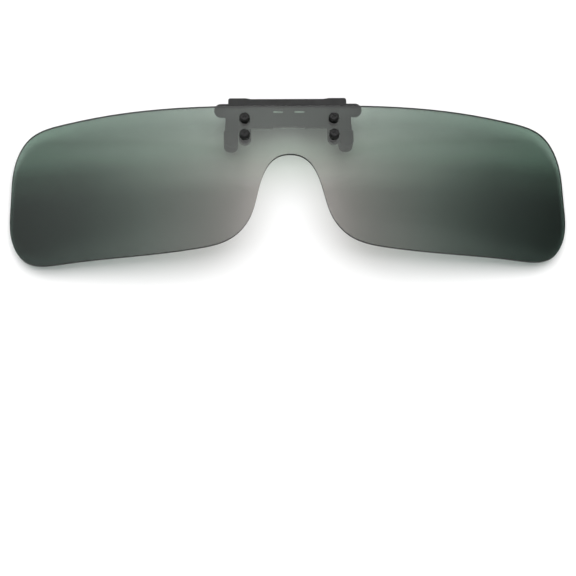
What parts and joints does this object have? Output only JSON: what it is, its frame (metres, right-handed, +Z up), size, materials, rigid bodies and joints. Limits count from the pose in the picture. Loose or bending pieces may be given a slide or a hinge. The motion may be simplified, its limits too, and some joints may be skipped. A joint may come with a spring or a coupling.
{
  "type": "clip-on sunglasses",
  "caption": "Clip-on sunglasses: a curved one-piece tinted shield lens, screwed to a flip-up hinge plate on a sprung black metal clip with rubber-sleeved legs.",
  "frame": {"origin": "the grip, midway between the front and rear pads of the closed clip, at the middle of their height", "axes": "+Z up as worn, +X across the face to the wearer's left, the lens front looks along -Y"},
  "size_m": [0.1434, 0.0128, 0.0457],
  "materials": {
    "lens_tint": "polished polarised plastic, grey-green tint",
    "black_metal": "satin black paint on stamped steel",
    "black_fastener": "gloss black plated",
    "spring_steel": "bare spring steel",
    "pin_steel": "darkened steel",
    "sleeve_rubber": "matt black soft rubber",
    "nylon": "matt black nylon"
  },
  "bodies": {
    "clip_base": {"front_jaw": "black_metal", "cam_block": "black_metal", "cam_rivet_left": "black_fastener", "cam_rivet_right": "black_fastener", "front_sleeve_left": "sleeve_rubber", "front_sleeve_right": "sleeve_rubber", "jaw_pin": "pin_steel", "torsion_spring": "spring_steel"},
    "lens_unit": {"lens": "lens_tint", "hinge_plate": "black_metal", "detent_spring": "spring_steel", "hinge_pin": "pin_steel", "screw_upper_left": "black_fastener", "screw_lower_left": "black_fastener", "screw_upper_right": "black_fastener", "screw_lower_right": "black_fastener", "washer_upper_left": "nylon", "washer_lower_left": "nylon", "washer_upper_right": "nylon", "washer_lower_right": "nylon", "spacer_upper_left": "nylon", "spacer_lower_left": "nylon", "spacer_upper_right": "nylon", "spacer_lower_right": "nylon", "nut_upper_left": "black_fastener", "nut_lower_left": "black_fastener", "nut_upper_right": "black_fastener", "nut_lower_right": "black_fastener"},
    "rear_jaw_unit": {"rear_jaw": "black_metal", "rear_sleeve_left": "sleeve_rubber", "rear_sleeve_right": "sleeve_rubber"}
  },
  "joints": [
    {"name": "flip_up", "type": "hinge", "parent": "clip_base", "child": "lens_unit", "pos_m": [0, -0.00295, 0.0075], "axis": [-1, 0, 0], "range_deg": [0, 90]},
    {"name": "jaw_open", "type": "hinge", "parent": "clip_base", "child": "rear_jaw_unit", "pos_m": [0, 0.00045, 0.0075], "axis": [1, 0, 0], "range_deg": [0, 25], "stiffness_Nm_per_rad": 0.02, "springref_deg": -22.92, "deforming": ["torsion_spring"]}
  ]
}
